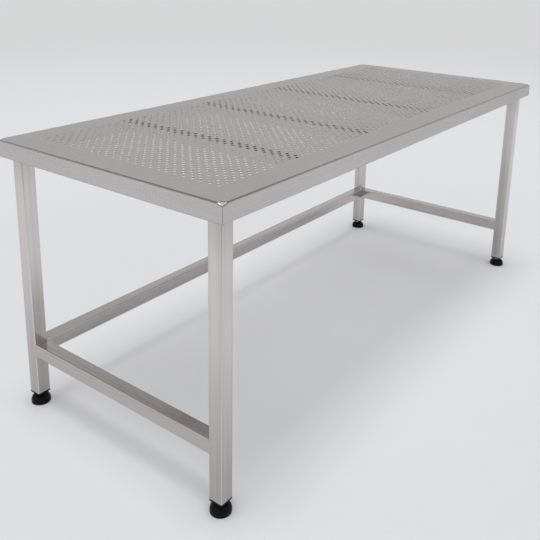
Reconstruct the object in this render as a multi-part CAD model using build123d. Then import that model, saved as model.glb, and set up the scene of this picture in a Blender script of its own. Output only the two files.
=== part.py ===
from build123d import *
import os
from math import cos, pi, radians, sin, sqrt, tan

# Cleanroom table: a perforated, folded stainless top on a welded frame of square tube, with
# swivel levelling feet. All lengths are in millimetres. The origin is on the floor under the
# middle of the table. X runs along its length, Y from the open front to the rear, and Z up.

# Whole table
table_length = 1828.8
table_depth = 762.0
table_height = 762.0

# Folded top sheet
sheet = 1.5
inner_bend = 3.0
corner_radius = 12.0
apron_depth = 45.0
return_width = 22.0

# Holes in the top: rows of one pitch, each row shifted by half a pitch from the one before it.
# They are drawn six times as large as on the real sheet, whose holes are 9.5 wide at a pitch of
# 25.4, so that each drawn hole opens as much as the 36 real ones in its place.
hole_width = 57.0
hole_sides = 8
hole_pitch = 152.4
hole_margin = 76.2

# Square tube of the frame
tube_side = 38.1
tube_wall = 1.5
tube_corner = 3.0
leg_inset = 25.4
stretcher_height = 152.4

# Folded channels under the top
channel_width = 38.1
channel_depth = 25.4
channel_wall = 1.5
channel_bend = 3.0
channel_place_shares = [-0.299, -0.119, 0.089, 0.2995]

# Levelling feet
pad_diameter = 52.0
pad_rim = 8.0
pad_height = 23.0
hub_diameter = 22.0
dome_bands = 2
pivot_height = 11.0
pivot_diameter = 13.0
pivot_length = 8.0
pivot_chamfer = 2.5
pivot_clearance = 0.1
tilt_limit = 8.0
neck_diameter = 8.0
neck_gap = 2.0
hexagon_width = 19.0
hexagon_height = 6.0
hexagon_gap = 0.3
thread_diameter = 12.0
thread_length = 45.0
thread_chamfer = 1.2
running_clearance = 0.05

# Plug in the lower end of each leg, with its threaded bush
plug_flange = 5.0
plug_depth = 25.0
plug_clearance = 0.2
bush_width = 19.0
bush_length = 25.0
bush_clearance = 0.05

# Heights that follow from the sizes above
sheet_underside = table_height - sheet
hexagon_bottom = pad_height + neck_gap
hexagon_top = hexagon_bottom + hexagon_height
plug_bottom = hexagon_top + hexagon_gap
leg_bottom = plug_bottom + plug_flange

# Places of the legs' centre lines
leg_x = table_length / 2 - leg_inset - tube_side / 2
leg_y = table_depth / 2 - leg_inset - tube_side / 2
corners = {
    "front_left": (-leg_x, -leg_y),
    "front_right": (leg_x, -leg_y),
    "rear_left": (-leg_x, leg_y),
    "rear_right": (leg_x, leg_y),
}

# Free lengths between the legs
long_span = 2 * leg_x - tube_side
short_span = 2 * leg_y - tube_side


def tray(outline, height, bend):
    """A block on height 0 with its top edges rounded by the bend."""
    block = extrude(outline, height)
    rim = block.faces().sort_by(Axis.Z)[-1].edges()
    return fillet(rim, bend)


def hole_places():
    """The centres of the holes: two square grids, the second shifted by half a pitch both ways."""
    half = hole_pitch / 2
    columns = round((table_length - 2 * hole_margin) / half)
    rows = round((table_depth - 2 * hole_margin) / half)
    left = -half * (columns - 1) / 2
    front = -half * (rows - 1) / 2
    return [
        (left + half * column, front + half * row)
        for row in range(rows)
        for column in range(columns)
        if (row + column) % 2 == 0
    ]


def top_sheet():
    """The top: a sheet turned down on four sides, with a flange turned in at the bottom.

    The corners are ground round outside. Inside, a flat face of weld crosses each corner.
    """
    outline = RectangleRounded(table_length, table_depth, corner_radius)
    inner_outline = Rectangle(table_length - 2 * sheet, table_depth - 2 * sheet)
    inner_outline = chamfer(inner_outline.vertices(), corner_radius - 2 * sheet)
    outer = tray(outline, apron_depth, inner_bend + sheet)
    hollow = tray(inner_outline, apron_depth - 2 * sheet, inner_bend)
    frame_edge = 2 * (sheet + return_width)
    mouth = extrude(Rectangle(table_length - frame_edge, table_depth - frame_edge), sheet)
    hole = RegularPolygon(hole_width / 2, hole_sides)
    holes = Sketch() + [Pos(x, y) * hole for x, y in hole_places()]
    drill = Pos(0, 0, apron_depth - 2 * sheet) * extrude(holes, 3 * sheet)
    folded = outer - Pos(0, 0, sheet) * hollow - mouth - drill
    return Pos(0, 0, table_height - apron_depth) * folded


def hexagon(width):
    """A hexagon of this width across its flats."""
    return RegularPolygon(width / sqrt(3), 6)


def square_tube(length):
    """A length of the frame's square tube, standing on height 0."""
    bore_side = tube_side - 2 * tube_wall
    outline = RectangleRounded(tube_side, tube_side, tube_corner)
    return extrude(outline - Rectangle(bore_side, bore_side), length)


def lengthwise(length):
    """A tube along X, centred on the origin."""
    return Rot(0, 90, 0) * Pos(0, 0, -length / 2) * square_tube(length)


def crosswise(length):
    """A tube along Y, centred on the origin."""
    return Rot(90, 0, 0) * Pos(0, 0, -length / 2) * square_tube(length)


def leg(x, y):
    """A leg from its plug up to the underside of the top."""
    return Pos(x, y, leg_bottom) * square_tube(sheet_underside - leg_bottom)


def cross_channel(x):
    """A channel, open upwards against the sheet, from the front rail to the rear rail."""
    outline = Pos(0, channel_depth / 2) * Rectangle(channel_width, channel_depth)
    outline = fillet(outline.vertices().group_by(Axis.Y)[0], channel_bend)
    inner_width = channel_width - 2 * channel_wall
    trough = Pos(0, channel_wall + channel_depth / 2) * Rectangle(inner_width, channel_depth)
    section = Plane.XZ * (outline - trough)
    low = sheet_underside - channel_depth
    return Pos(x, 0, low) * extrude(section, short_span / 2, both=True)


def leg_plug(x, y):
    """The square plug in a leg's lower end, bored for its bush."""
    body_side = tube_side - 2 * tube_wall - 2 * plug_clearance
    flange = extrude(RectangleRounded(tube_side, tube_side, tube_corner), plug_flange)
    body = extrude(Rectangle(body_side, body_side), plug_depth)
    pocket = extrude(hexagon(bush_width + 2 * bush_clearance), plug_flange + plug_depth)
    return Pos(x, y, plug_bottom) * (flange + Pos(0, 0, plug_flange) * body - pocket)


def threaded_bushes():
    """The six-sided bushes that the studs screw through, level with the undersides of the plugs."""
    bush = extrude(hexagon(bush_width) - Circle(thread_diameter / 2), bush_length)
    return Compound([Pos(x, y, plug_bottom) * bush for x, y in corners.values()])


def foot_stud(x, y):
    """A levelling stud: its neck, its hexagon for the wrench, and its threaded shank."""
    neck_bottom = pivot_height + pivot_length / 2
    shank_radius = thread_diameter / 2 - running_clearance
    neck = Pos(0, 0, neck_bottom) * extrude(Circle(neck_diameter / 2), hexagon_bottom - neck_bottom)
    grip = Pos(0, 0, hexagon_bottom) * extrude(hexagon(hexagon_width), hexagon_height)
    shank = Pos(0, 0, hexagon_top) * extrude(Circle(shank_radius), thread_length)
    tip = shank.faces().sort_by(Axis.Z)[-1].edges()
    return Pos(x, y) * (neck + grip + chamfer(tip, thread_chamfer))


def foot_pivot(x, y):
    """The turned swivel end of a stud, held in the socket of its pad."""
    button = extrude(Circle(pivot_diameter / 2), pivot_length / 2, both=True)
    return Pos(x, y, pivot_height) * chamfer(button.edges().filter_by(GeomType.CIRCLE), pivot_chamfer)


def socket_sizes():
    """The bore and half height of a pad's socket, in which the swivel end tilts to its limit."""
    tilt = radians(tilt_limit)
    waist = pivot_length / 2 - pivot_chamfer
    bore_radius = sqrt((pivot_diameter / 2) ** 2 + waist**2) + pivot_clearance
    edge = pivot_diameter / 2 - pivot_chamfer
    half_height = pivot_length / 2 * cos(tilt) + edge * sin(tilt) + pivot_clearance
    return bore_radius, half_height


def throat_radius(height):
    """The radius at which a pad's throat clears the tilted neck, this far above the pivot."""
    tilt = radians(tilt_limit)
    return height * tan(tilt) + neck_diameter / 2 / cos(tilt) + pivot_clearance


def foot_pad(x, y):
    """A round pad with a domed top, turned about its axis, with the socket and throat inside."""
    bore_radius, half_height = socket_sizes()
    dome_reach = (pad_diameter - hub_diameter) / 2
    dome_rise = pad_height - pad_rim
    steps = [pi / 2 * band / dome_bands for band in range(dome_bands + 1)]
    dome = [(hub_diameter / 2 + dome_reach * cos(a), pad_rim + dome_rise * sin(a)) for a in steps]
    socket_top = pivot_height + half_height
    socket_bottom = pivot_height - half_height
    inside = [
        (throat_radius(pad_height - pivot_height), pad_height),
        (throat_radius(half_height), socket_top),
        (bore_radius, socket_top),
        (bore_radius, socket_bottom),
        (0, socket_bottom),
    ]
    outline = Polyline([(0, 0), (pad_diameter / 2, 0), *dome, *inside], close=True)
    return Pos(x, y) * revolve(Plane.XZ * make_face(outline), Axis.Z)


def table():
    """Every piece by its name."""
    rail_height = sheet_underside - tube_side / 2
    stretcher_middle = stretcher_height + tube_side / 2
    pieces = {
        "top_sheet": top_sheet(),
        "rail_front": Pos(0, -leg_y, rail_height) * lengthwise(long_span),
        "rail_rear": Pos(0, leg_y, rail_height) * lengthwise(long_span),
        "rail_left": Pos(-leg_x, 0, rail_height) * crosswise(short_span),
        "rail_right": Pos(leg_x, 0, rail_height) * crosswise(short_span),
        "stretcher_rear": Pos(0, leg_y, stretcher_middle) * lengthwise(long_span),
        "stretcher_left": Pos(-leg_x, 0, stretcher_middle) * crosswise(short_span),
        "stretcher_right": Pos(leg_x, 0, stretcher_middle) * crosswise(short_span),
    }
    pieces["threaded_bushes"] = threaded_bushes()
    for number, share in enumerate(channel_place_shares, 1):
        pieces[f"cross_channel_{number}"] = cross_channel(share * table_length)
    makers = {
        "leg": leg,
        "leg_plug": leg_plug,
        "foot_stud": foot_stud,
        "foot_pivot": foot_pivot,
        "foot_pad": foot_pad,
    }
    for name, make in makers.items():
        for corner, (x, y) in corners.items():
            pieces[f"{name}_{corner}"] = make(x, y)
    return pieces


os.makedirs("parts", exist_ok=True)
for name, piece in table().items():
    export_step(piece, f"parts/{name}.step")
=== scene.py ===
# Cleanroom table: the visible pieces, finishes, camera and stage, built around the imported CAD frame.
# The scene is in metres. X runs along the table, Y from the open front to the rear, and Z up.

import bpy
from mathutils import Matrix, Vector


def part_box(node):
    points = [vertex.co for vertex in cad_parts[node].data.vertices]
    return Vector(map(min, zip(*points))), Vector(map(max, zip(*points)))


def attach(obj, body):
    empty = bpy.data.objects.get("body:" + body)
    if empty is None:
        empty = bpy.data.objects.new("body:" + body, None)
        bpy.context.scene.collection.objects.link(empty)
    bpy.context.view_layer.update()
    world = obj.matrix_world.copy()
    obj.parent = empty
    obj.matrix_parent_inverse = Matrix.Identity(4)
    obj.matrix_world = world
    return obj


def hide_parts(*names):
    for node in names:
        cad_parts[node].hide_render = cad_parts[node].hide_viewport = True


bl_info = {
    "name": "Cleanroom Table",
    "version": (1, 0, 0),
    "blender": (4, 5, 0),
    "location": "3D View > Sidebar > Table",
    "description": "Builds a perforated stainless table around its CAD frame",
    "category": "Object",
}

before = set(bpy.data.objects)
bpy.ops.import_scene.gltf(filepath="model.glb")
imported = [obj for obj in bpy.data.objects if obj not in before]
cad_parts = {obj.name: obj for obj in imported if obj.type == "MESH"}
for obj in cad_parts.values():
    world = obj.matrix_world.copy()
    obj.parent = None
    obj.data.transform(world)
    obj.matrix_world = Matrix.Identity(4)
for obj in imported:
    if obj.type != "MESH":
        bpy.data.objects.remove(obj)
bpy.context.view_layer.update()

from math import cos, pi, radians, sin, sqrt

import bmesh
import bpy
from bpy.props import FloatProperty, FloatVectorProperty, IntProperty, PointerProperty
from mathutils import Matrix, Vector

MM = 0.001
HAIR = 0.01 * MM
SMOOTH_ANGLE = radians(32)
NODE_WIDTH = 200
BODY = "table"
CORNERS = ("front_left", "front_right", "rear_left", "rear_right")


# Sizes and colours that a user would change

def number(name, description, default, **more):
    """A property that holds a number."""
    return FloatProperty(name=name, description=description, default=default, **more)


def length(name, description, millimetres):
    """A property that holds a length."""
    return number(name, description, millimetres * MM, min=0, unit="LENGTH", precision=5)


def angle(name, description, default):
    """A property that holds an angle."""
    return number(name, description, default, subtype="ANGLE")


def colour(name, description, default):
    """A property that holds a colour."""
    return FloatVectorProperty(
        name=name, description=description, default=default, size=3, min=0, max=1, subtype="COLOR"
    )


class TableTopSizes(bpy.types.PropertyGroup):
    """Sizes of the folded and perforated top sheet."""

    thickness: length("Sheet", "Thickness of the sheet", 1.5)
    bend: length("Bend", "Outer radius of the bends along the upper edges", 4.5)
    corner: length("Corner", "Radius of the upright corners", 5)
    corner_dip: length("Corner dip", "Depth by which each upper corner is ground down", 3.6)
    corner_run: length("Corner run", "Distance over which a ground corner runs out into the top", 8.5)
    lower_bend: length("Lower bend", "Outer radius of the bends along the lower edges", 3)
    flange: length("Return flange", "Width of the flange turned in under the apron", 22)
    hole: length("Hole", "Diameter of the holes", 9.5)
    cell: length("Cell", "Half the distance between neighbouring holes of one row", 12.7)
    pairs_along: IntProperty(name="Pairs along", description="Pairs of cells along the table", default=66)
    pairs_across: IntProperty(name="Pairs across", description="Pairs of cells across it", default=24)
    hole_sides: IntProperty(name="Hole sides", description="Straight sides of each hole", default=12)


class FootSizes(bpy.types.PropertyGroup):
    """Sizes of the levelling feet."""

    neck_radius: length("Neck radius", "Radius of the stud's neck", 4)
    neck_gap: length("Neck gap", "Free height of the neck between the pad and the hexagon", 2)
    grip_height: length("Hexagon height", "Height of the stud's hexagon", 6)
    grip_width: length("Hexagon width", "Width across the flats of the stud's hexagon", 19)
    shank_radius: length("Shank radius", "Outer radius of the stud's thread", 5.95)
    tip_chamfer: length("Tip chamfer", "Chamfer at the tip of the stud", 1.2)
    pitch: length("Thread pitch", "Rise of the stud's thread in one turn", 1.75)
    thread_depth: length("Thread depth", "Depth of the stud's thread", 1.05)
    rim: length("Pad rim", "Height of the pad's upright rim", 8)
    hub: length("Pad hub", "Diameter of the flat hub on the pad", 22)
    rim_ease: length("Pad edge", "Ease of the pad's lower edge", 1.2)
    tread: length("Tread", "Depth of the hollow under the pad", 1.5)
    mouth: length("Pad mouth", "Radius of the opening in the pad's hub", 6.6)
    throat: length("Pad throat", "Radius of the opening just above the swivel end", 5.2)
    socket_side: length("Socket side", "Room round the swivel end", 0.4)
    socket_end: length("Socket end", "Room above and below the swivel end, in which it tilts", 0.62)
    plug_ease: length("Plug edge", "Ease of the plug's edges", 0.6)


class FrameSizes(bpy.types.PropertyGroup):
    """Sizes of the ground welds where tubes of the frame meet."""

    proud: length("Weld height", "Height of the ground weld above the tubes", 0.06)
    bead: length("Weld bead", "Leg of the fillet weld above and below a stretcher", 1.0)
    reach: length("Weld reach", "How far the weld runs on to the stretcher", 1.5)
    tube_corner: length("Tube corner", "Outer radius of the tube's corners", 3)


class TableFinishes(bpy.types.PropertyGroup):
    """Colours of the finishes."""

    top_steel: colour("Top steel", "Satin stainless sheet of the top", (0.565, 0.545, 0.532))
    frame_steel: colour("Frame steel", "Satin stainless tube of the frame", (0.675, 0.635, 0.615))
    plated_steel: colour("Plated steel", "Zinc-plated steel of the studs", (0.62, 0.62, 0.60))
    brass: colour("Brass", "Turned brass of the threaded bushes", (0.60, 0.42, 0.18))
    plastic: colour("Plastic", "Moulded black plastic of the pads and plugs", (0.002, 0.002, 0.0022))
    dust: colour("Dust", "Fine dust that settles on the plastic", (0.10, 0.098, 0.095))


class StageSettings(bpy.types.PropertyGroup):
    """The camera's place, and the floor, the room and the key lamp."""

    camera_place: FloatVectorProperty(
        name="Camera place",
        description="Where the camera stands",
        default=(-1.8875, -1.2355, 1.2243),
        size=3,
        subtype="TRANSLATION",
    )
    heading: angle("Heading", "Turn of the view from X to Y", 0.6324)
    dip: angle("Dip", "How far the view looks down", 0.2576)
    roll: angle("Roll", "Turn about the view's own axis", 0.0224)
    lens: number("Lens", "Focal length", 47.29, unit="CAMERA")
    shift_x: number("Shift X", "Sideways shift of the lens", -0.0244)
    shift_y: number("Shift Y", "Upward shift of the lens", -0.2333)
    near_floor: length("Near reach", "Distance up to which the floor has its near colour", 1500)
    far_floor: length("Far reach", "Distance from which the floor has its far colour", 9000)
    floor_colour: colour("Floor", "Pale floor round the table", (0.80, 0.805, 0.82))
    # Painted shade: the floor is painted darker far from the table, so that it meets the backdrop.
    shaded_far_colour: colour("Far floor", "Pale floor far from the table", (0.70, 0.70, 0.70))
    sky_colour: colour("Backdrop", "Pale backdrop at the horizon", (0.70, 0.70, 0.70))
    zenith_colour: colour("Ceiling", "Dimmer room above the stage", (0.22, 0.187, 0.167))
    softbox_colour: colour("Softbox", "Broad lamp overhead, as metal shows it", (1.0, 1.0, 1.0))
    room_colour: colour("Room light", "Colour of the light from all round", (0.98, 0.985, 1.0))
    room_strength: number("Room", "Strength of that light", 1.0)
    key_strength: number("Key", "Strength of the broad key lamp", 0.95)
    key_tilt: angle("Key tilt", "How far the key lamp leans towards the left end", radians(5))
    key_spread: angle("Key spread", "How broad the key lamp looks from the table", radians(22))


# Steps of modelling

def start(add, name, **settings):
    """Adds a primitive with nothing else selected, and gives it its name."""
    bpy.ops.object.select_all(action="DESELECT")
    add(**settings)
    piece = bpy.context.object
    piece.name = name
    piece.data.name = name
    return piece


def select_only(*pieces):
    """Selects these pieces alone; the first is the active one."""
    bpy.ops.object.select_all(action="DESELECT")
    for piece in pieces:
        piece.select_set(True)
    bpy.context.view_layer.objects.active = pieces[0]


def settle(piece):
    """Puts the piece's place, turn and scale into its mesh."""
    select_only(piece)
    bpy.ops.object.transform_apply(location=True, rotation=True, scale=True)


def take_all():
    """Selects all of the mesh that is being edited."""
    bpy.ops.mesh.select_all(action="SELECT")


def edit(piece):
    """Opens the piece for editing, with all of it selected."""
    select_only(piece)
    bpy.ops.object.mode_set(mode="EDIT")
    take_all()


def close_edit():
    """Ends the editing."""
    bpy.ops.object.mode_set(mode="OBJECT")


def pick(piece, kind, wanted):
    """Selects the vertices, edges or faces that pass the test, and no others."""
    bpy.ops.mesh.select_mode(type=kind)
    bpy.ops.mesh.select_all(action="DESELECT")
    shape = bmesh.from_edit_mesh(piece.data)
    elements = {"VERT": shape.verts, "EDGE": shape.edges, "FACE": shape.faces}[kind]
    for element in elements:
        if wanted(element):
            element.select_set(True)
    bmesh.update_edit_mesh(piece.data)


def ends(edge):
    """The places of an edge's two ends."""
    return [vertex.co for vertex in edge.verts]


def upright(edge):
    """Whether an edge stands upright."""
    first, second = ends(edge)
    return (first - second).xy.length < HAIR


def level(height):
    """A test for edges that lie flat at this height."""
    return lambda edge: all(abs(place.z - height) < HAIR for place in ends(edge))


def within(middle, reach):
    """A test for edges that stay this close to the middle along every axis."""
    return lambda edge: all(max(map(abs, place - middle)) < reach for place in ends(edge))


def facing(direction, limit=0.99):
    """A test for faces that look this way."""
    return lambda face: face.normal.dot(Vector(direction)) > limit


def cut_across(place):
    """Cuts the open mesh through this place, square to the line from the middle of the table."""
    take_all()
    bpy.ops.mesh.bisect(plane_co=place, plane_no=place.normalized(), threshold=HAIR)


def extrude(step, scale, middle):
    """Extrudes what is selected by this step, and scales the new end about its middle."""
    bpy.ops.mesh.extrude_region_move(TRANSFORM_OT_translate={"value": step})
    bpy.ops.transform.resize(value=scale, center_override=middle)


def apply_modifier(piece, kind, **settings):
    """Adds a modifier with these settings and applies it."""
    select_only(piece)
    added = piece.modifiers.new(kind, kind)
    for name, value in settings.items():
        setattr(added, name, value)
    bpy.ops.object.modifier_apply(modifier=added.name)


def cut_to(piece, profile, centre):
    """Keeps what lies inside a solid turned from this profile."""
    cutter = turned("cutter", profile, centre, sides=48)
    apply_modifier(piece, "BOOLEAN", operation="INTERSECT", object=cutter, solver="EXACT")
    bpy.data.objects.remove(cutter)


def clean(piece):
    """Merges doubles and turns the faces outwards."""
    edit(piece)
    bpy.ops.mesh.remove_doubles(threshold=HAIR / 10)
    bpy.ops.mesh.normals_make_consistent(inside=False)
    close_edit()


def smooth(piece):
    """Smooths the rounds and keeps the flats flat."""
    select_only(piece)
    bpy.ops.object.shade_smooth_by_angle(angle=SMOOTH_ANGLE)
    apply_modifier(piece, "WEIGHTED_NORMAL", keep_sharp=True)


def turned(name, profile, centre, sides):
    """A solid turned about an upright axis, from a profile of (radius, height) pairs."""
    add_circle = bpy.ops.mesh.primitive_circle_add
    radius, height = profile[0]
    place = (*centre, height)
    piece = start(add_circle, name, vertices=sides, radius=radius, fill_type="NGON", location=place)
    settle(piece)
    edit(piece)
    for next_radius, next_height in profile[1:]:
        scale = next_radius / radius
        extrude((0, 0, next_height - height), (scale, scale, 1), (*centre, next_height))
        radius, height = next_radius, next_height
    close_edit()
    clean(piece)
    return piece


def arc(centre_radius, centre_height, radius, first, last, steps):
    """Points of (radius, height) along an arc of a profile, between two angles."""
    turns = [first + (last - first) * step / steps for step in range(steps + 1)]
    return [(centre_radius + radius * cos(turn), centre_height + radius * sin(turn)) for turn in turns]


def copy_of(piece, name, turn, place):
    """A copy with its own mesh, turned about the upright axis and then moved."""
    select_only(piece)
    bpy.ops.object.duplicate(linked=False)
    twin = bpy.context.object
    twin.name = name
    twin.data.name = name
    twin.data.transform(Matrix.Translation(place) @ Matrix.Rotation(turn, 4, "Z"))
    return twin


def place_piece(piece, body, slot, material, *nodes):
    """Gives the piece its finish, its body and the CAD nodes that it stands for."""
    piece.data.materials.clear()
    piece.data.materials.append(material)
    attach(piece, body)
    if nodes:
        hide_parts(*nodes)


# Nodes of the finishes

def feed(tree, sockets, values):
    """Gives each socket its value, or links another node's output to it."""
    for name, value in values.items():
        if isinstance(value, bpy.types.NodeSocket):
            tree.links.new(value, sockets[name])
        else:
            sockets[name].default_value = value


def add_node(tree, kind, inputs=None, **settings):
    """Adds a node to the tree; an input takes a value or another node's output."""
    made = tree.nodes.new(kind)
    made.location = (NODE_WIDTH * len(tree.nodes), 0)
    for name, value in settings.items():
        setattr(made, name, value)
    feed(tree, made.inputs, inputs or {})
    return made


def add_coordinates(tree):
    """The coordinates that a texture can follow."""
    return add_node(tree, "ShaderNodeTexCoord").outputs


def add_axes(tree, vector):
    """The parts of a vector along X, Y and Z."""
    return add_node(tree, "ShaderNodeSeparateXYZ", {0: vector}).outputs


def add_math(tree, operation, first, second=0.0, third=0.0):
    """The output of a math node."""
    inputs = {0: first, 1: second, 2: third}
    return add_node(tree, "ShaderNodeMath", inputs, operation=operation).outputs[0]


def add_vector_math(tree, operation, inputs, output=0):
    """The output of a vector math node."""
    return add_node(tree, "ShaderNodeVectorMath", inputs, operation=operation).outputs[output]


def add_scaled(tree, tone, factor):
    """A colour times a factor."""
    return add_vector_math(tree, "SCALE", {0: tone, "Scale": factor})


def add_swing(tree, value, middle, amount):
    """How far a value lies from its middle, times an amount."""
    return add_math(tree, "MULTIPLY", add_math(tree, "SUBTRACT", value, middle), amount)


def add_map(tree, value, first, last, low=0.0, high=1.0, eased=True):
    """A value taken from between first and last to between low and high, eased at both ends or not."""
    inputs = {"Value": value, "From Min": first, "From Max": last, "To Min": low, "To Max": high}
    way = "SMOOTHSTEP" if eased else "LINEAR"
    return add_node(tree, "ShaderNodeMapRange", inputs, interpolation_type=way).outputs[0]


def add_noise(tree, place, scale, detail=2.0):
    """Noise from 0 to 1."""
    inputs = {"Vector": place, "Scale": scale, "Detail": detail}
    return add_node(tree, "ShaderNodeTexNoise", inputs).outputs["Fac"]


def add_mix(tree, factor, first, second):
    """The output of a node that mixes two colours."""
    made = add_node(tree, "ShaderNodeMix", {0: factor}, data_type="RGBA")
    sockets = [socket for socket in made.inputs if socket.type == "RGBA"]
    feed(tree, sockets, {0: first, 1: second})
    return [socket for socket in made.outputs if socket.type == "RGBA"][0]


def opaque(tone):
    """A colour with full alpha, as colour sockets take it."""
    return (*tone, 1.0)


# Effects that several materials share

SURFACE = ("Colour", "Roughness", "Height")
BRUSHED = ("Colour", "Stretch", "Streaks", "Clouds", "Roughness", "Roughness Spread")


def new_group(name, inputs, outputs):
    """A node group with these sockets; gives the group, what it is given and what it puts out."""
    kinds = {"Colour": "NodeSocketColor", "Dust": "NodeSocketColor", "Stretch": "NodeSocketVector"}
    group = bpy.data.node_groups.new(name, "ShaderNodeTree")
    for way, sockets in (("INPUT", inputs), ("OUTPUT", outputs)):
        for socket in sockets:
            kind = kinds.get(socket, "NodeSocketFloat")
            group.interface.new_socket(socket, in_out=way, socket_type=kind)
    given = group.nodes.new("NodeGroupInput").outputs
    result = group.nodes.new("NodeGroupOutput").inputs
    return group, given, result


def add_group(tree, make, name, values):
    """The outputs of a shared effect, whose node group is built when it is first asked for."""
    group = bpy.data.node_groups.get(name) or make(name)
    return add_node(tree, "ShaderNodeGroup", values, node_tree=group).outputs


def brushed_group(name):
    """Brushed steel: fine and broad streaks along the grain, with clouds of handling over them."""
    tree, given, result = new_group(name, BRUSHED, SURFACE)
    place = add_coordinates(tree)["Object"]
    grain = add_vector_math(tree, "MULTIPLY", {0: place, 1: given["Stretch"]})
    fine = add_noise(tree, grain, scale=1.0, detail=3.0)
    broad = add_noise(tree, grain, scale=0.28)
    clouds = add_noise(tree, place, scale=3.5, detail=3.0)
    streaks = add_math(tree, "MULTIPLY", add_math(tree, "ADD", fine, broad), 0.5)
    streak_shift = add_swing(tree, streaks, 0.5, given["Streaks"])
    cloud_shift = add_swing(tree, clouds, 0.5, given["Clouds"])
    tone = add_math(tree, "ADD", add_math(tree, "ADD", streak_shift, cloud_shift), 1.0)
    rough_shift = add_swing(tree, add_math(tree, "ADD", fine, clouds), 1.0, given["Roughness Spread"])
    toned = add_scaled(tree, given["Colour"], tone)
    roughness = add_math(tree, "ADD", given["Roughness"], rough_shift)
    feed(tree, result, {"Colour": toned, "Roughness": roughness, "Height": fine})
    return tree


def tube_painted_light_group(name):
    """Painted light on the tubes: a painted highlight along the rounded edges near the floor, turning to
    painted shade on them higher up, and painted shade over the whole tube near the floor and again just
    under the top.
    """
    edge_light_inputs = ("Lower Edge Light", "Upper Edge Light")
    low_shade_inputs = ("Low Shade Tone", "Low Shade Height", "Low Shade End")
    top_shade_inputs = ("Top Shade Tone", "Top Shade Height", "Top Shade Reach")
    tree, given, result = new_group(name, edge_light_inputs + low_shade_inputs + top_shade_inputs, ("Tone",))
    coordinates = add_coordinates(tree)
    sides = add_axes(tree, add_vector_math(tree, "ABSOLUTE", {0: coordinates["Normal"]}))
    widest = add_math(tree, "MAXIMUM", add_math(tree, "MAXIMUM", sides["X"], sides["Y"]), sides["Z"])
    # A face that looks half way between two sides counts as the full edge.
    half_way = 1 - sqrt(0.5)
    edge = add_math(tree, "DIVIDE", add_math(tree, "SUBTRACT", 1.0, widest), half_way)
    height = add_axes(tree, coordinates["Object"])["Z"]
    lowest, highest = 0.1, 0.7
    # Painted highlight along the rounded edges near the floor, turning to painted shade on them higher
    # up.
    edge_light = add_map(
        tree, height, lowest, highest, given["Lower Edge Light"], given["Upper Edge Light"], eased=False
    )
    edges = add_math(tree, "MULTIPLY_ADD", edge, edge_light, 1.0)
    # Painted shade over the whole tube near the floor.
    lower = add_map(tree, height, given["Low Shade Height"], given["Low Shade End"], given["Low Shade Tone"], 1.0)
    # Painted shade over the whole tube just under the top.
    top_shade_start = add_math(tree, "SUBTRACT", given["Top Shade Height"], given["Top Shade Reach"])
    upper = add_map(tree, height, top_shade_start, given["Top Shade Height"], 1.0, given["Top Shade Tone"])
    tone = add_math(tree, "MULTIPLY", add_math(tree, "MULTIPLY", edges, lower), upper)
    feed(tree, result, {"Tone": tone})
    return tree


def seam_group(name):
    """Corner seam: masks for the narrow weld down each corner of the top, and for the ground corner."""
    inputs = ("Half Length", "Half Depth", "Reach", "Width", "Top")
    tree, given, result = new_group(name, inputs, ("Mask", "Ground"))
    axes = add_axes(tree, add_coordinates(tree)["Object"])
    along = add_math(tree, "SUBTRACT", given["Half Length"], add_math(tree, "ABSOLUTE", axes["X"]))
    across = add_math(tree, "SUBTRACT", given["Half Depth"], add_math(tree, "ABSOLUTE", axes["Y"]))
    off_line = add_math(tree, "ABSOLUTE", add_math(tree, "SUBTRACT", along, across))
    line = add_math(tree, "SUBTRACT", 1.0, add_math(tree, "DIVIDE", off_line, given["Width"]))
    near = add_math(tree, "LESS_THAN", add_math(tree, "ADD", along, across), given["Reach"])
    below = add_math(tree, "LESS_THAN", axes["Z"], given["Top"])
    apron = add_math(tree, "MULTIPLY", near, below)
    mask = add_math(tree, "MULTIPLY", add_math(tree, "MAXIMUM", line, 0.0), apron)
    ground = add_map(tree, add_math(tree, "MAXIMUM", along, across), given["Reach"], 0.0)
    feed(tree, result, {"Mask": mask, "Ground": ground})
    return tree


def plastic_group(name):
    """Moulded plastic: a fine skin, and dust that settles where the surface looks up."""
    tree, given, result = new_group(name, ("Colour", "Dust", "Amount", "Roughness"), SURFACE)
    coordinates = add_coordinates(tree)
    skin = add_noise(tree, coordinates["Object"], scale=1800.0)
    patches = add_noise(tree, coordinates["Object"], scale=90.0, detail=4.0)
    upward = add_math(tree, "MAXIMUM", add_axes(tree, coordinates["Normal"])["Z"], 0.0)
    settled = add_math(tree, "MULTIPLY", upward, patches)
    dusty = add_math(tree, "MULTIPLY", settled, given["Amount"])
    dulled = add_mix(tree, dusty, given["Colour"], given["Dust"])
    roughness = add_math(tree, "ADD", given["Roughness"], dusty)
    feed(tree, result, {"Colour": dulled, "Roughness": roughness, "Height": skin})
    return tree


# Materials

def new_material(name):
    """A material with its node tree and its shader."""
    material = bpy.data.materials.new(name)
    material.use_nodes = True
    return material, material.node_tree, material.node_tree.nodes["Principled BSDF"]


def dress(tree, shader, surface, values, depth):
    """Gives the shader the surface, raised at most this deep, and values that add to it or replace it."""
    relief = {"Strength": 1.0, "Distance": depth, "Height": surface["Height"]}
    taken = {
        "Base Color": surface["Colour"],
        "Roughness": surface["Roughness"],
        "Normal": add_node(tree, "ShaderNodeBump", relief).outputs["Normal"],
    }
    feed(tree, shader.inputs, {**taken, **values})


def add_brushed(tree, tone, stretch, streaks, clouds, roughness, spread):
    """The outputs of the brushed steel effect, placed in a material."""
    values = (opaque(tone), stretch, streaks, clouds, roughness, spread)
    return add_group(tree, brushed_group, "Brushed Steel", dict(zip(BRUSHED, values)))


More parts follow.
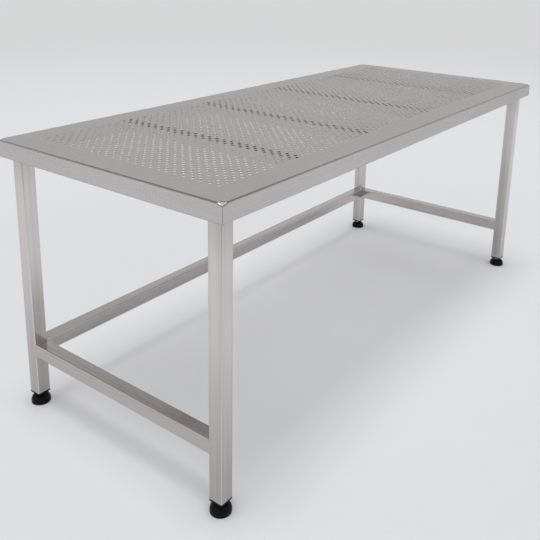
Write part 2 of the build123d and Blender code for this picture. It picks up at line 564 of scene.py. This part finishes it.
def tube_steel(name, tone, stretch, lower_edge_light=0.6, upper_edge_light=-0.35):
    """Satin stainless tube, brushed along its length."""
    material, tree, shader = new_material(name)
    surface = add_brushed(tree, tone, stretch, streaks=0.65, clouds=0.22, roughness=0.20, spread=0.16)
    # Painted highlight on the lower rounded edges and painted shade on the upper ones, with painted shade
    # near the floor and just under the top.
    places = {
        "Lower Edge Light": lower_edge_light,
        "Upper Edge Light": upper_edge_light,
        "Low Shade Tone": 0.70,
        "Low Shade Height": 0.03,
        "Low Shade End": 0.5,
        "Top Shade Tone": 0.84,
        "Top Shade Height": 0.72,
        "Top Shade Reach": 0.12,
    }
    painted_light = add_group(tree, tube_painted_light_group, "Tube Painted Light", places)
    painted_colour = add_scaled(tree, surface["Colour"], painted_light["Tone"])
    dress(tree, shader, surface, {"Base Color": painted_colour, "Metallic": 1.0}, depth=0.02 * MM)
    return material


def sheet_steel(tone, sizes):
    """Satin stainless sheet: the grain runs along the table, and along the apron at both ends."""
    fine, drawn = 420.0, 6.0
    end_facing = 0.7
    # Painted shade along the bends, and a painted highlight on the ground upper corners.
    crease_shade = 0.28
    ground_highlight = 0.2
    ground_polish = 0.08
    seam_tone = 0.35
    material, tree, shader = new_material("sheet_steel")
    facing_way = add_axes(tree, add_coordinates(tree)["Normal"])
    at_end = add_math(tree, "GREATER_THAN", add_math(tree, "ABSOLUTE", facing_way["X"]), end_facing)
    stretch = add_mix(tree, at_end, (drawn, fine, fine, 1.0), (fine, drawn, fine, 1.0))
    surface = add_brushed(tree, tone, stretch, streaks=0.14, clouds=0.14, roughness=0.27, spread=0.10)
    low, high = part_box("top_sheet")
    places = {
        "Half Length": (high.x - low.x) / 2,
        "Half Depth": (high.y - low.y) / 2,
        "Reach": sizes.corner + sizes.corner_run,
        "Width": sizes.thickness,
        "Top": high.z - sizes.corner_dip - sizes.corner / 2,
    }
    seam = add_group(tree, seam_group, "Corner Seam", places)
    # Upward goes from 0 on an apron to 1 on the top, so four times the crease is 1 half way round.
    upward = add_math(tree, "POWER", add_math(tree, "ABSOLUTE", facing_way["Z"]), 2.0)
    crease = add_math(tree, "MULTIPLY", upward, add_math(tree, "SUBTRACT", 1.0, upward))
    # Painted shade along the bends, darkest half way round.
    shaded = add_math(tree, "MULTIPLY_ADD", crease, -4 * crease_shade, 1.0)
    # Painted highlight on the ground upper corners, where they look upwards.
    corner_highlight = add_math(tree, "MULTIPLY", seam["Ground"], upward)
    shade_and_highlight = add_math(tree, "MULTIPLY_ADD", corner_highlight, ground_highlight, shaded)
    plain = add_scaled(tree, surface["Colour"], shade_and_highlight)
    dark = add_scaled(tree, surface["Colour"], seam_tone)
    values = {
        "Base Color": add_mix(tree, seam["Mask"], plain, dark),
        "Roughness": add_math(tree, "MULTIPLY_ADD", seam["Ground"], -ground_polish, surface["Roughness"]),
        "Metallic": 1.0,
        "Specular Tint": opaque((0.8, 0.8, 0.8)),
    }
    dress(tree, shader, surface, values, depth=0.01 * MM)
    return material


def plain_metal(name, tone, roughness):
    """Plated or turned metal with fine marks all round it."""
    material, tree, shader = new_material(name)
    marks = (300.0, 300.0, 2500.0)
    surface = add_brushed(tree, tone, marks, streaks=0.25, clouds=0.2, roughness=roughness, spread=0.15)
    dress(tree, shader, surface, {"Metallic": 1.0}, depth=0.01 * MM)
    return material


def black_plastic(name, finishes, roughness, dust):
    """Moulded black nylon with a little dust."""
    material, tree, shader = new_material(name)
    skin = {
        "Colour": opaque(finishes.plastic),
        "Dust": opaque(finishes.dust),
        "Amount": dust,
        "Roughness": roughness,
    }
    surface = add_group(tree, plastic_group, "Moulded Plastic", skin)
    dress(tree, shader, surface, {"Specular IOR Level": 0.1}, depth=0.02 * MM)
    return material


def finish_nodes(material, slot, *names):
    """Gives carried-over CAD nodes their material."""
    for name in names:
        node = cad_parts[name]
        node.data.materials.clear()
        node.data.materials.append(material)


# Operators, one for the stage and one for each kind of piece

class TABLE_OT_stage(bpy.types.Operator):
    """Sets the camera, the pale floor, the key lamp and the room"""

    bl_idname = "table.stage"
    bl_label = "Stage"

    def execute(self, context):
        settings = context.scene.table_stage
        self.add_camera(context, settings)
        self.add_floor(settings)
        self.add_key_lamp(settings)
        self.add_world(context, settings)
        context.scene.view_settings.view_transform = "Standard"
        return {"FINISHED"}

    def add_camera(self, context, settings):
        """The camera at the photograph's viewing angle."""
        bpy.ops.object.camera_add()
        camera = context.object
        camera.name = "camera"
        camera.data.sensor_width = 36
        camera.data.lens = settings.lens
        camera.data.shift_x = settings.shift_x
        camera.data.shift_y = settings.shift_y
        camera.data.clip_end = 200
        camera.matrix_world = (
            Matrix.Translation(settings.camera_place)
            @ Matrix.Rotation(settings.heading - pi / 2, 4, "Z")
            @ Matrix.Rotation(pi / 2 - settings.dip, 4, "X")
            @ Matrix.Rotation(settings.roll, 4, "Z")
        )
        context.scene.camera = camera

    def add_floor(self, settings):
        """A pale floor, painted darker outwards from near the table, so that its colour meets the
        backdrop's far from the table.
        """
        add_circle = bpy.ops.mesh.primitive_circle_add
        floor = start(add_circle, "floor", vertices=64, radius=60, fill_type="NGON")
        material, tree, shader = new_material("floor_paint")
        place = add_coordinates(tree)["Object"]
        distance = add_vector_math(tree, "LENGTH", {0: place}, output="Value")
        # Painted shade that grows with distance from the table.
        away = add_map(tree, distance, settings.near_floor, settings.far_floor)
        paint = add_mix(tree, away, opaque(settings.floor_colour), opaque(settings.shaded_far_colour))
        feed(tree, shader.inputs, {"Base Color": paint, "Roughness": 0.9, "Specular IOR Level": 0.0})
        floor.data.materials.append(material)

    def add_key_lamp(self, settings):
        """One broad lamp, almost straight above the table."""
        bpy.ops.object.light_add(type="SUN", rotation=(0, -settings.key_tilt, 0))
        lamp = bpy.context.object
        lamp.name = "key_lamp"
        lamp.data.energy = settings.key_strength
        lamp.data.angle = settings.key_spread

    def add_world(self, context, settings):
        """A pale room, as the camera and gloss see it, and a soft light from it on everything else."""
        ceiling_start, ceiling_full = 0.42, 0.68
        softbox_start, softbox_full = 0.78, 0.88
        glow_level, glow_above, glow_end = 3.5, 0.12, 0.7
        world = bpy.data.worlds.new("room")
        world.use_nodes = True
        tree = world.node_tree
        tree.nodes.clear()
        upward = add_axes(tree, add_coordinates(tree)["Generated"])["Z"]
        ceiling = add_map(tree, upward, ceiling_start, ceiling_full)
        softbox = add_map(tree, upward, softbox_start, softbox_full, eased=False)
        room = add_mix(tree, ceiling, opaque(settings.sky_colour), opaque(settings.zenith_colour))
        room = add_mix(tree, softbox, room, opaque(settings.softbox_colour))
        pale = add_node(tree, "ShaderNodeBackground", {"Color": room, "Strength": 1.0}).outputs[0]
        glow = add_map(tree, upward, 0.0, glow_end, glow_level, glow_above, eased=False)
        glow = add_math(tree, "MULTIPLY", glow, settings.room_strength)
        tint = opaque(settings.room_colour)
        light = add_node(tree, "ShaderNodeBackground", {"Color": tint, "Strength": glow}).outputs[0]
        rays = add_node(tree, "ShaderNodeLightPath").outputs
        seen = add_math(tree, "MAXIMUM", rays["Is Camera Ray"], rays["Is Glossy Ray"])
        seen = add_math(tree, "MAXIMUM", seen, rays["Is Transmission Ray"])
        mixed = add_node(tree, "ShaderNodeMixShader", {0: seen, 1: light, 2: pale}).outputs[0]
        add_node(tree, "ShaderNodeOutputWorld", {"Surface": mixed})
        context.scene.world = world


class TABLE_OT_frame_steel(bpy.types.Operator):
    """Finishes the tubes and channels of the frame, brushed along their lengths"""

    bl_idname = "table.frame_steel"
    bl_label = "Frame steel"

    def execute(self, context):
        tone = context.scene.table_finishes.frame_steel
        fine, drawn = 300.0, 2.0
        upright_tube = tube_steel("tube_upright", tone, (fine, fine, drawn))
        long_tube = tube_steel("tube_lengthwise", tone, (drawn, fine, fine))
        cross_tube = tube_steel("tube_crosswise", tone, (fine, drawn, fine))
        channels = [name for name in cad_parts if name.startswith("cross_channel")]
        ends_across = ("rail_left", "rail_right", "stretcher_left", "stretcher_right")
        finish_nodes(upright_tube, "frame_steel", *[f"leg_{corner}" for corner in CORNERS])
        finish_nodes(long_tube, "frame_steel", "rail_front", "rail_rear", "stretcher_rear")
        finish_nodes(cross_tube, "frame_steel", *ends_across, *channels)
        return {"FINISHED"}


class TABLE_OT_top_sheet(bpy.types.Operator):
    """Folds the top from one sheet and punches its field of round holes"""

    bl_idname = "table.top_sheet"
    bl_label = "Perforated top"

    def execute(self, context):
        sizes = context.scene.table_top
        low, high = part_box("top_sheet")
        top = self.fold(sizes, low, high)
        field = self.punch(sizes, high.z)
        select_only(top, field)
        bpy.ops.object.join()
        self.close_margin(top, sizes, high.z)
        apply_modifier(top, "SOLIDIFY", thickness=sizes.thickness, offset=-1, use_even_offset=True)
        smooth(top)
        steel = sheet_steel(context.scene.table_finishes.top_steel, sizes)
        place_piece(top, BODY, "top_steel", steel, "top_sheet")
        return {"FINISHED"}

    def fold(self, sizes, low, high):
        """The outer skin of the tray, open on top and below."""
        extent = high - low
        top = start(bpy.ops.mesh.primitive_cube_add, "perforated_top", size=1, location=(low + high) / 2)
        top.scale = extent
        settle(top)
        edit(top)
        rounds = (
            (upright, sizes.corner, 8),
            (level(high.z), sizes.bend, 5),
            (level(low.z), sizes.lower_bend, 4),
        )
        for edges, radius, segments in rounds:
            pick(top, "EDGE", edges)
            bpy.ops.mesh.bevel(offset=radius, segments=segments, affect="EDGES")
        pick(top, "FACE", facing((0, 0, -1)))
        bpy.ops.mesh.delete(type="FACE")
        mouth = Vector((0, 0, low.z))
        inward = 2 * sizes.flange
        bpy.ops.mesh.primitive_plane_add(size=1, location=mouth)
        bpy.ops.transform.resize(value=(extent.x - inward, extent.y - inward, 1), center_override=mouth)
        bpy.ops.mesh.delete(type="ONLY_FACE")
        pick(top, "EDGE", lambda edge: level(low.z)(edge) and (edge.is_wire or edge.is_boundary))
        bpy.ops.mesh.fill()
        self.cut_lines(top, sizes, high)
        self.grind(top, sizes, high)
        close_edit()
        return top

    def cut_lines(self, top, sizes, high):
        """Cuts the lines on which the corners bend, and opens the panel inside them."""
        run_shares = (0, 0.25, 0.5, 0.75, 1.0, 1.3)
        for share in run_shares:
            inward = sizes.corner + share * sizes.corner_run
            for side in (-1, 1):
                cut_across(Vector((side * (high.x - inward), 0, 0)))
                cut_across(Vector((0, side * (high.y - inward), 0)))

        def panel(face):
            return facing((0, 0, 1))(face) and face.calc_center_median().xy.length < HAIR

        pick(top, "FACE", panel)
        bpy.ops.mesh.delete(type="FACE")

    def grind(self, top, sizes, high):
        """Lowers each upper corner, as far as the ground weld runs out into the top."""
        patch_share = 1.5
        patch = patch_share * sizes.corner
        for side_x in (-1, 1):
            for side_y in (-1, 1):
                corner = Vector((side_x * high.x, side_y * high.y, high.z))
                pick(top, "VERT", lambda vertex: (vertex.co - corner).length < patch)
                bpy.ops.transform.translate(
                    value=(0, 0, -sizes.corner_dip),
                    use_proportional_edit=True,
                    proportional_edit_falloff="LINEAR",
                    proportional_size=sizes.corner_run,
                )

    def punch(self, sizes, height):
        """The flat field of holes, from one tile of two holes and two plain cells."""
        cell = sizes.cell
        radius = sizes.hole / 2
        corner = Vector((-sizes.pairs_along * cell, -sizes.pairs_across * cell, height))
        centre = corner + Vector((cell, cell, 0))
        tile = {"x_subdivisions": 2, "y_subdivisions": 2, "size": 2 * cell, "location": centre}
        field = start(bpy.ops.mesh.primitive_grid_add, "field", **tile)
        settle(field)
        for side in (-0.5, 0.5):
            hole = centre + Vector((side * cell, side * cell, 0))
            edit(field)
            pick(field, "FACE", lambda face: (face.calc_center_median() - hole).length < HAIR)
            bpy.ops.mesh.delete(type="ONLY_FACE")
            bpy.ops.mesh.select_mode(type="EDGE")
            bpy.ops.mesh.primitive_circle_add(vertices=sizes.hole_sides, radius=radius, location=hole)
            pick(field, "EDGE", within(hole, cell / 2 + HAIR))
            bpy.ops.mesh.fill()
            close_edit()
        steps = {"use_relative_offset": False, "use_constant_offset": True}
        seams = {"use_merge_vertices": True, "merge_threshold": HAIR}
        for axis, count in enumerate((sizes.pairs_along, sizes.pairs_across)):
            step = [2 * cell if axis == direction else 0 for direction in range(3)]
            apply_modifier(field, "ARRAY", count=count, constant_offset_displace=step, **steps, **seams)
        return field

    def close_margin(self, top, sizes, height):
        """The plain band between the field of holes and the bends."""
        edge_x = sizes.pairs_along * sizes.cell
        edge_y = sizes.pairs_across * sizes.cell

        def open_rim(edge):
            middle = sum(ends(edge), Vector()) / 2
            outside = abs(middle.x) > edge_x - HAIR or abs(middle.y) > edge_y - HAIR
            return edge.is_boundary and level(height)(edge) and outside

        edit(top)
        pick(top, "EDGE", open_rim)
        bpy.ops.mesh.fill()
        take_all()
        bpy.ops.mesh.normals_make_consistent(inside=False)
        close_edit()


class TABLE_OT_welds(bpy.types.Operator):
    """Lays the ground welds where stretchers and rails meet the legs"""

    bl_idname = "table.welds"
    bl_label = "Ground welds"

    def execute(self, context):
        sizes = context.scene.table_frame
        tone = context.scene.table_finishes.frame_steel
        sanded = (260.0, 260.0, 260.0)
        steel = tube_steel("ground_weld", tone, sanded, lower_edge_light=0.0, upper_edge_light=0.0)
        welds = {
            "weld_fillet": (sizes.bead, ("stretcher_left", "stretcher_right", "stretcher_rear")),
            "weld_flush": (0.0, ("rail_left", "rail_right", "rail_front", "rail_rear")),
        }
        for name, (bead, tubes) in welds.items():
            pattern = self.collar(name, sizes, bead)
            for tube in tubes:
                self.lay(pattern, tube, steel)
            bpy.data.objects.remove(pattern)
        return {"FINISHED"}

    def collar(self, name, sizes, bead):
        """A weld round the end of a tube that runs along X and meets a leg at X 0."""
        low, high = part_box("leg_front_left")
        side = high.x - low.x
        full = side + 2 * sizes.proud
        under = side - 2 * sizes.proud
        ring = start(bpy.ops.mesh.primitive_plane_add, name, size=under, rotation=(0, pi / 2, 0))
        settle(ring)
        edit(ring)
        pick(ring, "VERT", lambda vertex: True)
        bpy.ops.mesh.bevel(offset=sizes.tube_corner, segments=4, affect="VERTICES")
        bpy.ops.mesh.select_mode(type="FACE")
        take_all()
        start_x = -sizes.tube_corner - 2 * sizes.proud
        bpy.ops.transform.translate(value=(start_x, 0, 0))
        # The hollow slope of the fillet, in shares of its reach and of its height
        slope = ((0, 1), (0.25, 0.45), (0.6, 0.125), (1, 0))
        steps = [
            (start_x + 2 * sizes.proud, full, full),
            (0, full, full),
            *[(run * sizes.reach, full, full + 2 * rise * bead) for run, rise in slope],
            (sizes.reach + 2 * sizes.proud, under, under),
        ]
        at, across, tall = start_x, under, under
        for next_at, next_across, next_tall in steps:
            scale = (1, next_across / across, next_tall / tall)
            extrude((next_at - at, 0, 0), scale, (next_at, 0, 0))
            at, across, tall = next_at, next_across, next_tall
        close_edit()
        clean(ring)
        return ring

    def lay(self, pattern, name, steel):
        """Copies the weld to both ends of a tube."""
        low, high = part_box(name)
        middle = (low + high) / 2
        axis = 0 if high.x - low.x > high.y - low.y else 1
        reach = (high[axis] - low[axis]) / 2
        direction = Vector((1 - axis, axis, 0))
        for end, side, turn in (("a", -1, 0), ("b", 1, pi)):
            place = middle + side * reach * direction
            weld = copy_of(pattern, f"weld_{name}_{end}", turn + axis * pi / 2, place)
            smooth(weld)
            place_piece(weld, BODY, "frame_steel", steel)


class TABLE_OT_plugs(bpy.types.Operator):
    """Makes the black plugs in the legs, with eased edges"""

    bl_idname = "table.plugs"
    bl_label = "Leg plugs"

    def execute(self, context):
        sizes = context.scene.table_feet
        finishes = context.scene.table_finishes
        plastic = black_plastic("plug_nylon", finishes, roughness=0.42, dust=0.12)
        brass = plain_metal("bush_brass", finishes.brass, roughness=0.3)
        finish_nodes(brass, "bush_brass", "threaded_bushes")
        for corner in CORNERS:
            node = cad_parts[f"leg_plug_{corner}"]
            plug = copy_of(node, f"plug_{corner}", turn=0, place=(0, 0, 0))
            # The copy is a piece of its own, so it drops the CAD node's labels and parent.
            for key in list(plug.keys()):
                del plug[key]
            plug.parent = None
            clean(plug)
            rounding = {"width": sizes.plug_ease, "segments": 2, "limit_method": "ANGLE"}
            apply_modifier(plug, "BEVEL", angle_limit=radians(50), **rounding)
            smooth(plug)
            place_piece(plug, BODY, "black_plastic", plastic, node.name)
        return {"FINISHED"}


class TABLE_OT_studs(bpy.types.Operator):
    """Cuts the studs: neck, chamfered hexagon and a true thread"""

    bl_idname = "table.studs"
    bl_label = "Levelling studs"

    def execute(self, context):
        sizes = context.scene.table_feet
        zinc = plain_metal("stud_zinc", context.scene.table_finishes.plated_steel, roughness=0.24)
        finish_nodes(zinc, "plated_steel", *[f"foot_pivot_{corner}" for corner in CORNERS])
        for corner in CORNERS:
            stud = self.stud(corner, sizes)
            place_piece(stud, f"stud_{corner}", "plated_steel", zinc, f"foot_stud_{corner}")
        return {"FINISHED"}

    def stud(self, corner, sizes):
        """One stud, standing through the middle of its pad."""
        low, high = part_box(f"foot_stud_{corner}")
        centre = ((low.x + high.x) / 2, (low.y + high.y) / 2)
        grip_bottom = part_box(f"foot_pad_{corner}")[1].z + sizes.neck_gap
        grip_top = grip_bottom + sizes.grip_height
        overlap = 0.5 * MM
        grip = self.hexagon(f"stud_{corner}", sizes.grip_width, grip_bottom, grip_top, centre)
        neck_profile = [(sizes.neck_radius, low.z), (sizes.neck_radius, grip_bottom + overlap)]
        neck = turned("neck", neck_profile, centre, sides=32)
        smooth(neck)
        shank = self.thread("shank", sizes, grip_top - overlap, high.z, centre)
        select_only(grip, neck, shank)
        bpy.ops.object.join()
        return grip

    def hexagon(self, name, across_flats, bottom, top, centre):
        """A hexagon whose corners are turned off at both faces."""
        corner_radius = across_flats / sqrt(3)
        grip = start(
            bpy.ops.mesh.primitive_cylinder_add,
            name,
            vertices=6,
            radius=corner_radius,
            depth=top - bottom,
            location=(*centre, (top + bottom) / 2),
            rotation=(0, 0, pi / 6),
        )
        settle(grip)
        slope, face_share, clear_share = 0.58, 0.97, 1.01
        drop = (corner_radius - across_flats / 2) * slope
        face_radius = across_flats / 2 * face_share
        profile = [
            (face_radius, bottom),
            (corner_radius * clear_share, bottom + drop),
            (corner_radius * clear_share, top - drop),
            (face_radius, top),
        ]
        cut_to(grip, profile, centre)
        smooth(grip)
        return grip

    def thread(self, name, sizes, bottom, top, centre):
        """A right-hand thread, cut square below and chamfered at its tip."""
        radius = sizes.shank_radius
        pitch = sizes.pitch
        chamfer = sizes.tip_chamfer
        spare_turns = 3
        turns = int((top - bottom) / pitch) + spare_turns
        add_plane = bpy.ops.mesh.primitive_plane_add
        place = (radius - pitch / 2, 0, 0)
        shank = start(add_plane, name, size=pitch, location=place, rotation=(pi / 2, 0, 0))
        settle(shank)
        edit(shank)
        pick(shank, "VERT", lambda vertex: vertex.co.x < radius - pitch / 2)
        bpy.ops.mesh.delete(type="VERT")
        bpy.ops.mesh.select_mode(type="EDGE")
        take_all()
        bpy.ops.mesh.subdivide(number_cuts=7)
        # Distance from the crest in shares of the pitch, and depth there in shares of the full depth
        groove = {0.5: 1, 0.375: 0.86, 0.25: 0.5, 0.125: 0.12}
        for away, share in groove.items():
            pick(shank, "VERT", lambda vertex: abs(abs(vertex.co.z) - away * pitch) < HAIR)
            bpy.ops.transform.translate(value=(-share * sizes.thread_depth, 0, 0))
        take_all()
        bpy.ops.mesh.screw(steps=20, turns=turns, center=(0, 0, 0), axis=(0, 0, 1))
        # The screw is left-handed, so its mirror image is taken.
        take_all()
        bpy.ops.transform.resize(value=(-1, 1, 1), center_override=(0, 0, 0))
        bpy.ops.mesh.remove_doubles(threshold=HAIR / 10)
        shape = bmesh.from_edit_mesh(shank.data)
        lowest = min(vertex.co.z for vertex in shape.verts)
        spare = spare_turns / 2 * pitch
        take_all()
        bpy.ops.transform.translate(value=(*centre, bottom - spare - lowest))
        for height, side in ((bottom, "clear_inner"), (top, "clear_outer")):
            take_all()
            cut = {"plane_co": (0, 0, height), "plane_no": (0, 0, 1), side: True}
            bpy.ops.mesh.bisect(use_fill=True, **cut)
        close_edit()
        clean(shank)
        profile = [
            (radius + MM, bottom - MM),
            (radius + MM, top - chamfer - MM),
            (radius - chamfer, top),
        ]
        cut_to(shank, profile, centre)
        smooth(shank)
        return shank


class TABLE_OT_pads(bpy.types.Operator):
    """Turns the domed foot pads with their sockets"""

    bl_idname = "table.pads"
    bl_label = "Foot pads"

    def execute(self, context):
        sizes = context.scene.table_feet
        plastic = black_plastic("pad_nylon", context.scene.table_finishes, roughness=0.34, dust=0.05)
        for corner in CORNERS:
            node = f"foot_pad_{corner}"
            low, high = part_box(node)
            middle = (low + high) / 2
            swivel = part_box(f"foot_pivot_{corner}")
            profile = self.profile(sizes, (high.x - low.x) / 2, high.z, swivel)
            pad = turned(f"pad_{corner}", profile, (middle.x, middle.y), sides=64)
            smooth(pad)
            place_piece(pad, f"pad_{corner}", "black_plastic", plastic, node)
        return {"FINISHED"}

    def profile(self, sizes, radius, height, swivel):
        """From the hollow under the pad, round the rim and the dome, and down round the swivel end."""
        hub = sizes.hub / 2
        ease = sizes.rim_ease
        sole = 4 * ease
        sole_edge_width, sole_edge_height = 0.5 * MM, 0.4 * MM
        lip_width, lip_height = MM, 0.6 * MM
        floor_centre = MM
        tread_radius = radius - sole
        underside = [
            (tread_radius - sizes.tread, sizes.tread),
            (tread_radius, sole_edge_height),
            (tread_radius + sole_edge_width, 0),
        ]
        edge = arc(radius - ease, ease, ease, -pi / 2, 0, steps=4)
        dome = arc(hub, sizes.rim, height - sizes.rim, 0, pi / 2, steps=10)
        stretched = [(hub + (r - hub) * (radius - hub) / (height - sizes.rim), z) for r, z in dome]
        lip = [(sizes.mouth + lip_width, height), (sizes.mouth, height - lip_height)]
        low, high = swivel
        socket_radius = (high.x - low.x) / 2 + sizes.socket_side
        socket_top = high.z + sizes.socket_end
        socket_floor = low.z - sizes.socket_end
        socket = [
            (sizes.throat, socket_top),
            (socket_radius, socket_top),
            (socket_radius, socket_floor),
            (floor_centre, socket_floor),
        ]
        return underside + edge + stretched + lip + socket


class TABLE_PT_sidebar(bpy.types.Panel):
    """Lists the table's pieces in the order in which they are made"""

    bl_idname = "TABLE_PT_sidebar"
    bl_label = "Cleanroom Table"
    bl_space_type = "VIEW_3D"
    bl_region_type = "UI"
    bl_category = "Table"

    def draw(self, context):
        for operator in OPERATORS:
            self.layout.operator(operator.bl_idname)
        for name, settings in SETTINGS.items():
            box = self.layout.box()
            for setting in settings.__annotations__:
                box.prop(getattr(context.scene, name), setting)


SETTINGS = {
    "table_top": TableTopSizes,
    "table_frame": FrameSizes,
    "table_feet": FootSizes,
    "table_finishes": TableFinishes,
    "table_stage": StageSettings,
}
OPERATORS = (
    TABLE_OT_stage,
    TABLE_OT_frame_steel,
    TABLE_OT_top_sheet,
    TABLE_OT_welds,
    TABLE_OT_plugs,
    TABLE_OT_studs,
    TABLE_OT_pads,
)


def register():
    """Registers the settings, the operators and the panel."""
    for name, settings in SETTINGS.items():
        bpy.utils.register_class(settings)
        setattr(bpy.types.Scene, name, PointerProperty(type=settings))
    for made in (*OPERATORS, TABLE_PT_sidebar):
        bpy.utils.register_class(made)


def unregister():
    """Takes back what register added."""
    for made in (TABLE_PT_sidebar, *reversed(OPERATORS)):
        bpy.utils.unregister_class(made)
    for name, settings in SETTINGS.items():
        delattr(bpy.types.Scene, name)
        bpy.utils.unregister_class(settings)


def main():
    """Builds the table."""
    register()
    bpy.ops.table.stage()
    bpy.ops.table.frame_steel()
    bpy.ops.table.top_sheet()
    bpy.ops.table.welds()
    bpy.ops.table.plugs()
    bpy.ops.table.studs()
    bpy.ops.table.pads()


if __name__ == "__main__":
    main()
